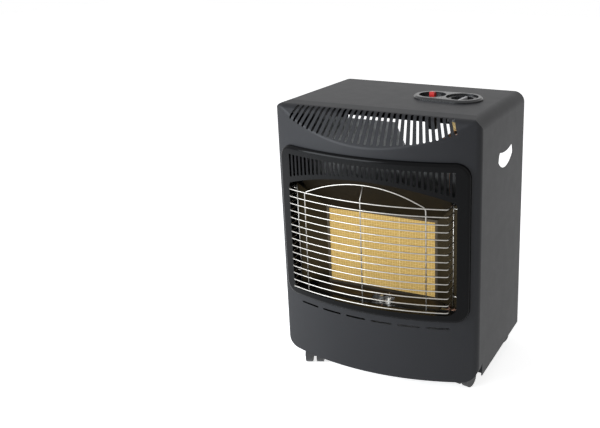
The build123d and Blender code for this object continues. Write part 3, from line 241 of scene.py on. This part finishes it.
# %% Metals
def metal(name, light, dark, roughness, grain, stretch):
    """Metal between two tints. stretch draws its grain out along X."""
    made = Finish(name, metallic=1.0)
    scaled = made.node(
        "ShaderNodeMapping",
        sockets={"Vector": made.place(), "Scale": (1.0 / stretch, 1.0, 1.0)},
    )
    lines = made.node(
        "ShaderNodeTexNoise", sockets={"Vector": scaled, "Scale": grain, "Detail": 3.0}
    )
    made.set("base color", made.blend(lines, colour(*dark), colour(*light)))
    made.set("roughness", roughness + 0.12 * lines)
    made.relief(lines, 0.00002)
    return made


guard_wire = metal("guard_wire", (0.40, 0.385, 0.36), (0.29, 0.28, 0.26), 0.24, 500.0, 6.0)
plated_steel = metal("plated_steel", (0.66, 0.66, 0.65), (0.48, 0.48, 0.47), 0.28, 300.0, 8.0)
brass = metal("brass", (0.78, 0.58, 0.27), (0.62, 0.45, 0.20), 0.26, 260.0, 3.0)
copper_pipe = metal("copper_pipe", (0.78, 0.46, 0.33), (0.60, 0.34, 0.24), 0.30, 260.0, 3.0)
print("plain metals:", 4)

# %% [markdown]
# ## Galvanised sheet
# Zinc freezes in flat crystals that each reflect a little differently. Voronoi cells give
# one random value to a crystal, which shifts its tint and its roughness. The sheet's tints
# are kept very dark as painted shade, for the inside of the cabinet seen through the slots.

# %% Galvanised sheet
galvanised = Finish("galvanised", metallic=1.0)
crystal = galvanised.node(
    "ShaderNodeTexVoronoi",
    sockets={"Vector": galvanised.place(), "Scale": 110.0},
    output="Color",
)
tone = galvanised.node("ShaderNodeSeparateColor", sockets={0: crystal})
# The dark tints are painted shade for the sheet inside the cabinet, seen through the slots.
galvanised.set("base color", galvanised.blend(tone, colour(0.13, 0.13, 0.13), colour(0.21, 0.21, 0.21)))
galvanised.set("roughness", 0.34 + 0.14 * tone)
print("finish:", galvanised.material.name)

# %% [markdown]
# ## Heat-stained reflectors
# The sheets beside and above the plaques have turned dark brown in use, and darker higher
# up, where the hot gas goes. The height above the burner's middle says how far the stain has
# gone, and a soft noise breaks it up.

# %% Heat-stained reflectors
burner_middle = 0.275  # height of the plaques' middle
stain_reach = 0.16
reflector = Finish("reflector", metallic=1.0, specular_ior_level=0.2)
_, _, stain_z = reflector.axes()
stain = reflector.noise(22.0) * 0.35 + (stain_z - burner_middle) / stain_reach * 0.65
reflector.set(
    "base color",
    reflector.node(
        "ShaderNodeValToRGB",
        {"stops": [
            (0.15, colour(0.030, 0.023, 0.012)),
            (0.60, colour(0.020, 0.015, 0.008)),
            (0.95, colour(0.011, 0.009, 0.006)),
        ]},
        {"Fac": stain},
    ),
)
reflector.set("roughness", 0.34 + 0.16 * reflector.noise(90.0))
print("finish:", reflector.material.name)

# %% [markdown]
# ## Ceramic plaques
# A plaque is pressed ceramic with over a thousand fine flame holes. They are far too many to
# model, so the finish draws them. The remainder of X and Z within one pitch is the place
# inside a cell, and its distance from the cell's middle makes a round hole: a dent, with a
# dark colour in it that is painted shade inside the hole.

# %% Ceramic plaques
hole_pitch = 0.0028
hole_radius = 0.00075
block_pitch = 0.0056  # the holes are pressed in blocks, two by two
block_groove = 0.0005

ceramic = Finish("ceramic", roughness=0.85)
across, _, up = ceramic.axes()


def within(value, pitch):
    """Distance from the middle of the cell that the value falls in."""
    return ceramic.maths("MODULO", value + 10.0, pitch) - pitch / 2


hole_x = within(across, hole_pitch)
hole_z = within(up, hole_pitch)
hole_distance = ceramic.maths("SQRT", hole_x * hole_x + hole_z * hole_z)
hole = hole_distance < hole_radius
groove_x = block_pitch / 2 - ceramic.maths("ABSOLUTE", within(across, block_pitch))
groove_z = block_pitch / 2 - ceramic.maths("ABSOLUTE", within(up, block_pitch))
groove = ceramic.maths("MAXIMUM", groove_x < block_groove, groove_z < block_groove)
clay = ceramic.blend(ceramic.noise(30.0), colour(0.50, 0.320, 0.074), colour(0.57, 0.368, 0.096))
pale = ceramic.blend(groove, clay, colour(0.68, 0.46, 0.155))
# The dark colour in each hole is painted shade inside it.
ceramic.set("base color", ceramic.blend(hole, pale, colour(0.34, 0.19, 0.045)))
ceramic.relief(groove * -1.0 - hole, 0.0004)
plaque_low, plaque_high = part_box("ceramic_plaque_middle")
holes_across = round((plaque_high.x - plaque_low.x) / hole_pitch)
holes_up = round((plaque_high.z - plaque_low.z) / hole_pitch)
print("flame holes to a plaque:", holes_across * holes_up)

# %% [markdown]
# ## Plastics and the electrode's ceramic
# Moulded plastic has a faint grain and a soft gloss. Each part gets its own colour,
# roughness and depth of grain.

# %% Plastics
def moulded(name, tint, roughness, grain_depth):
    """Moulded piece in one colour, with a fine grain."""
    made = Finish(name)
    lighter = [channel * 1.25 + 0.002 for channel in tint]
    made.set("base color", made.blend(made.noise(60.0), colour(*tint), colour(*lighter)))
    made.set("roughness", roughness + 0.06 * made.noise(120.0))
    made.relief(made.noise(1400.0), grain_depth)
    return made


black_plastic = moulded("black_plastic", (0.012, 0.012, 0.013), 0.24, 0.00001)
castor_plastic = moulded("castor_plastic", (0.014, 0.014, 0.015), 0.46, 0.00003)
red_plastic = moulded("red_plastic", (0.42, 0.012, 0.010), 0.28, 0.00001)
silver_trim = moulded("silver_trim", (0.50, 0.50, 0.51), 0.30, 0.00001)
electrode_ceramic = moulded("electrode_ceramic", (0.76, 0.75, 0.71), 0.22, 0.00001)
print("moulded finishes:", 5)

# %% Give every node its finish
finishes = {
    made.name: made.material
    for made in (
        paint, enamel, guard_wire, plated_steel, brass, copper_pipe, galvanised, reflector,
        ceramic, black_plastic, castor_plastic, red_plastic, silver_trim, electrode_ceramic,
    )
}
for part in frame["record"]["subparts"]:
    node = frame["nodes"][part["node"]]
    node.data.materials.clear()
    node.data.materials.append(finishes[part["material_slot"]])

# %% Metal that the flame has dulled
frame_stain = metal("frame_stain", (0.070, 0.058, 0.042), (0.036, 0.030, 0.022), 0.42, 90.0, 2.0)
for stained in ("burner_frame", "burner_box", "lower_reflector"):
    frame["nodes"][stained].data.materials[0] = frame_stain.material
pilot_steel = metal("pilot_steel", (0.42, 0.41, 0.39), (0.26, 0.25, 0.24), 0.34, 260.0, 3.0)
for dulled in ("pilot_bracket", "thermocouple_probe"):
    frame["nodes"][dulled].data.materials[0] = pilot_steel.material
print("dulled nodes:", 5)

# %% [markdown]
# ## Fibre seals between the plaques
# Ceramic would chip against ceramic, so a strip of pale fibre fills each joint. It is a
# thin box with softened edges, flush with the plaques, and paler than they are.

# %% Fibre seals
def finished_piece(name, shape, finish, body):
    """Turns a bmesh into an object with a finish, riding on a body."""
    mesh = bpy.data.meshes.new(name)
    bmesh.ops.recalc_face_normals(shape, faces=shape.faces)
    shape.to_mesh(mesh)
    shape.free()
    mesh.materials.append(finish.material)
    made = bpy.data.objects.new(name, mesh)
    bpy.context.collection.objects.link(made)
    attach(made, body)
    return made


seal_proud = 0.0003
fibre = moulded("fibre", (0.70, 0.56, 0.30), 0.85, 0.00008)
left_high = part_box("ceramic_plaque_left")[1]
joint_width = plaque_low.x - left_high.x
for side, place in ((-1, "left"), (1, "right")):
    joint_x = side * (plaque_high.x + joint_width / 2)
    strip = bmesh.new()
    bmesh.ops.create_cube(strip, size=1.0)
    depth = plaque_high.y - plaque_low.y
    height = plaque_high.z - plaque_low.z
    bmesh.ops.scale(strip, verts=strip.verts, vec=(joint_width, depth, height))
    bmesh.ops.bevel(
        strip, geom=strip.edges, offset=joint_width / 5, segments=2, profile=0.5,
        affect="EDGES", material=-1,
    )
    middle_y = (plaque_low.y + plaque_high.y) / 2 - seal_proud
    middle = (joint_x, middle_y, (plaque_low.z + plaque_high.z) / 2)
    bmesh.ops.translate(strip, verts=strip.verts, vec=middle)
    finished_piece(f"plaque_seal_{place}", strip, fibre, "cabinet")
print("joint between plaques:", round(joint_width * 1000, 2), "mm")

# %% [markdown]
# ## Wire guard
# The guard is round bright wire: fifteen bows with bent ends, an arch whose legs are welded
# behind them, a middle wire, and a hooked upright at each end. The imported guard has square
# wires, to keep it light. Here each wire starts as a ring of points that is spun round a
# centre for a bend and carried straight between bends. Only the right half is drawn, and a
# mirror makes the left one, because the guard is the same on both sides.

# %% Sizes of the guard
guard_low, guard_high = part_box("wire_guard")
wire_radius = 0.0012
wire_sides = 10
bow_rows = 15
bow_radius = 0.56928
bow_bend = 0.005
bow_middle_y = guard_low.y + wire_radius + bow_radius
bow_half = 0.167
bow_end_y = guard_high.y - wire_radius
bow_bottom = guard_low.z + wire_radius
bow_top = 0.407
leg_x = 0.127
weld = 0.0004
merge_gap = 0.00001  # points of the two halves that are this near become one
arch_slope = radians(22.0)
arch_bend = 0.010
arch_crown = guard_high.z - wire_radius
hook_rows = (1.5, 13.5)  # how many rows above the lowest bow
print("guard:", [round(value, 4) for value in guard_high - guard_low])


# %% Draw a wire, bend by bend
class Wire:
    """Round wire that grows from a ring. It ends where its last run ends."""

    def __init__(self, shape, start, heading):
        turned = Vector(heading).to_track_quat("Z", "Y").to_matrix().to_4x4()
        turned.translation = start
        ring = bmesh.ops.create_circle(
            shape, segments=wire_sides, radius=wire_radius, cap_ends=False, matrix=turned
        )
        self.shape = shape
        edges = {edge for point in ring["verts"] for edge in point.link_edges}
        self.end = ring["verts"] + list(edges)

    def grow(self, centre, axis, angle, shift, steps):
        """Spins or carries the end of the wire, and keeps the new end."""
        grown = bmesh.ops.spin(
            self.shape, geom=self.end, cent=centre, axis=axis, angle=angle,
            dvec=shift, steps=steps, use_merge=False, use_duplicate=False,
        )
        self.end = grown["geom_last"]

    def turn(self, centre, axis, angle, steps):
        self.grow(centre, axis, angle, (0, 0, 0), steps)

    def straight(self, shift):
        self.grow((0, 0, 0), (0, 0, 1), 0.0, shift, 1)


def bow_y(x):
    """Y of a bow's middle line at x."""
    return bow_middle_y - sqrt(bow_radius**2 - x**2)


def carry(shape, points, shift):
    """Copies part of the shape to another place."""
    copied = bmesh.ops.duplicate(shape, geom=points)
    moved = [item for item in copied["geom"] if isinstance(item, bmesh.types.BMVert)]
    bmesh.ops.translate(shape, verts=moved, vec=shift)


upright = Vector((0, 0, 1))
print("wire:", wire_radius * 2000, "mm thick")

# %% Bows
guard = bmesh.new()
bend_x = bow_half - bow_bend
bend_y = bow_middle_y - sqrt((bow_radius - bow_bend) ** 2 - bend_x**2)
bow_turn = asin(bend_x / (bow_radius - bow_bend))
bow = Wire(guard, (0, bow_y(0), bow_bottom), (1, 0, 0))
bow.turn((0, bow_middle_y, bow_bottom), upright, bow_turn, 24)
bow.turn((bend_x, bend_y, bow_bottom), upright, pi / 2 - bow_turn, 8)
bow.straight((0, bow_end_y - bend_y, 0))
row_pitch = (bow_top - bow_bottom) / (bow_rows - 1)
first_bow = guard.verts[:] + guard.edges[:] + guard.faces[:]
for row in range(1, bow_rows):
    carry(guard, first_bow, (0, 0, row * row_pitch))
print("bows:", bow_rows, "faces:", len(guard.faces))

# %% Arch and its legs
leg_y = bow_y(leg_x) + 2 * wire_radius - weld
arch_rise = leg_x * tan(arch_slope)
arch_radius = (arch_rise - arch_crown + bow_top) / (1 / cos(arch_slope) - 1)
bend_turn = pi / 2 - arch_slope
bend_run = arch_bend * tan(bend_turn / 2)
slope_run = hypot(leg_x, arch_rise) - arch_radius * tan(arch_slope) - bend_run
arch = Wire(guard, (0, leg_y, arch_crown), (1, 0, 0))
arch.turn((0, leg_y, arch_crown - arch_radius), (0, 1, 0), arch_slope, 16)
arch.straight((slope_run * cos(arch_slope), 0, -slope_run * sin(arch_slope)))
arch.turn((leg_x - arch_bend, leg_y, bow_top - bend_run), (0, 1, 0), bend_turn, 8)
arch.straight((0, 0, bow_bottom - wire_radius - bow_top + bend_run))
print("arch radius:", round(arch_radius, 4))

# %% Hooked uprights, and the mirrored half
post = Wire(guard, (bow_half, bow_end_y, bow_bottom - wire_radius), upright)
post.straight((0, 0, bow_top - bow_bottom + 2 * wire_radius))
for row in hook_rows:
    hook_z = bow_bottom + row * row_pitch
    hook = Wire(guard, (bow_half, bow_end_y, hook_z), (1, 0, 0))
    hook.straight((guard_high.x - bow_half, 0, 0))
right_half = guard.verts[:] + guard.edges[:] + guard.faces[:]
bmesh.ops.mirror(guard, geom=right_half, axis="X", merge_dist=merge_gap)
print("both halves:", len(guard.faces), "faces")

# %% Middle wire
spine_y = bow_y(0) + 2 * wire_radius - weld
spine_knee = bow_top + bow_bend
spine_lean = atan2(leg_y - spine_y, arch_crown - spine_knee)
knee_run = bow_bend * tan(spine_lean / 2)
spine_run = hypot(leg_y - spine_y, arch_crown - spine_knee) - knee_run
spine = Wire(guard, (0, spine_y, bow_bottom - wire_radius), upright)
spine.straight((0, 0, spine_knee - knee_run - bow_bottom + wire_radius))
spine.turn((0, spine_y + bow_bend, spine_knee - knee_run), (1, 0, 0), -spine_lean, 6)
spine.straight((0, spine_run * sin(spine_lean), spine_run * cos(spine_lean)))
bmesh.ops.holes_fill(guard, edges=guard.edges[:], sides=wire_sides)
guard_piece = finished_piece("guard_wires", guard, guard_wire, "cabinet")
for face in guard_piece.data.polygons:
    face.use_smooth = len(face.vertices) == 4
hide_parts("wire_guard")
print("guard faces:", len(guard_piece.data.polygons))

# %% [markdown]
# ## Floor, lamps and surroundings
# The heater stands on a plain pale floor. A large soft lamp, a little blue, at the front left
# is the main light. A far weaker one fills from the right. The surroundings are white where
# the camera or a reflection sees them, and only a weak light otherwise.

# %% Floor
floor_size = 14.0
floor_glow = 0.75  # added where the camera or a reflection sees the floor, so that it is white
floor_shape = bmesh.new()
bmesh.ops.create_grid(floor_shape, x_segments=1, y_segments=1, size=floor_size / 2)
floor_mesh = bpy.data.meshes.new("floor")
floor_shape.to_mesh(floor_mesh)
floor_shape.free()
floor = bpy.data.objects.new("floor", floor_mesh)
bpy.context.collection.objects.link(floor)
floor_finish = Finish("floor_finish", roughness=0.9, specular_ior_level=0.1)
floor_finish.set(
    "base color",
    floor_finish.blend(floor_finish.noise(3.0), colour(0.90, 0.90, 0.90), colour(0.93, 0.93, 0.93)),
)
seen_white = floor_finish.node("ShaderNodeLightPath", output="Is Camera Ray")
for ray in ("Is Glossy Ray", "Is Transmission Ray"):
    seen_so = floor_finish.node("ShaderNodeLightPath", output=ray)
    seen_white = floor_finish.maths("MAXIMUM", seen_white, seen_so)
floor_finish.set("emission color", floor_finish.blend(seen_white, colour(0, 0, 0), colour(1, 1, 1)))
floor_finish.set("emission strength", floor_glow)
floor_mesh.materials.append(floor_finish.material)
print("floor:", floor_size, "m")

# %% Surroundings
weak_daylight = 0.34
world = bpy.data.worlds.new("surroundings")
bpy.context.scene.world = world
world.use_nodes = True
sky = world.node_tree
light_path = sky.nodes.new("ShaderNodeLightPath")
seen = sky.nodes.new("ShaderNodeMath")
seen.operation = "MAXIMUM"
sky.links.new(light_path.outputs["Is Camera Ray"], seen.inputs[0])
sky.links.new(light_path.outputs["Is Glossy Ray"], seen.inputs[1])
seen_through = sky.nodes.new("ShaderNodeMath")
seen_through.operation = "MAXIMUM"
sky.links.new(seen.outputs[0], seen_through.inputs[0])
sky.links.new(light_path.outputs["Is Transmission Ray"], seen_through.inputs[1])
strength = sky.nodes.new("ShaderNodeMapRange")
strength.inputs["To Min"].default_value = weak_daylight
strength.inputs["To Max"].default_value = 1.0
sky.links.new(seen_through.outputs[0], strength.inputs["Value"])
sky.links.new(strength.outputs["Result"], sky.nodes["Background"].inputs["Strength"])
sky.nodes["Background"].inputs["Color"].default_value = colour(1.0, 1.0, 1.0)
print("surroundings ready")

# %% Lamps
def soft_lamp(name, place, aim, size, power, tint):
    """Square lamp of a tint at a place, turned to a point."""
    data = bpy.data.lights.new(name, "AREA")
    data.shape = "SQUARE"
    data.size = size
    data.energy = power
    data.color = tint
    lamp = bpy.data.objects.new(name, data)
    bpy.context.collection.objects.link(lamp)
    lamp.location = place
    lamp.rotation_euler = (Vector(aim) - Vector(place)).to_track_quat("-Z", "Y").to_euler()


lamp_aim = (0.0, 0.0, 0.3)
soft_lamp("key_lamp", (-1.3, -1.6, 1.05), lamp_aim, 1.5, 76.0, (0.90, 0.95, 1.0))
soft_lamp("fill_lamp", (2.2, -0.6, 1.4), lamp_aim, 1.6, 4.0, (1.0, 1.0, 1.0))
print("lamps ready")
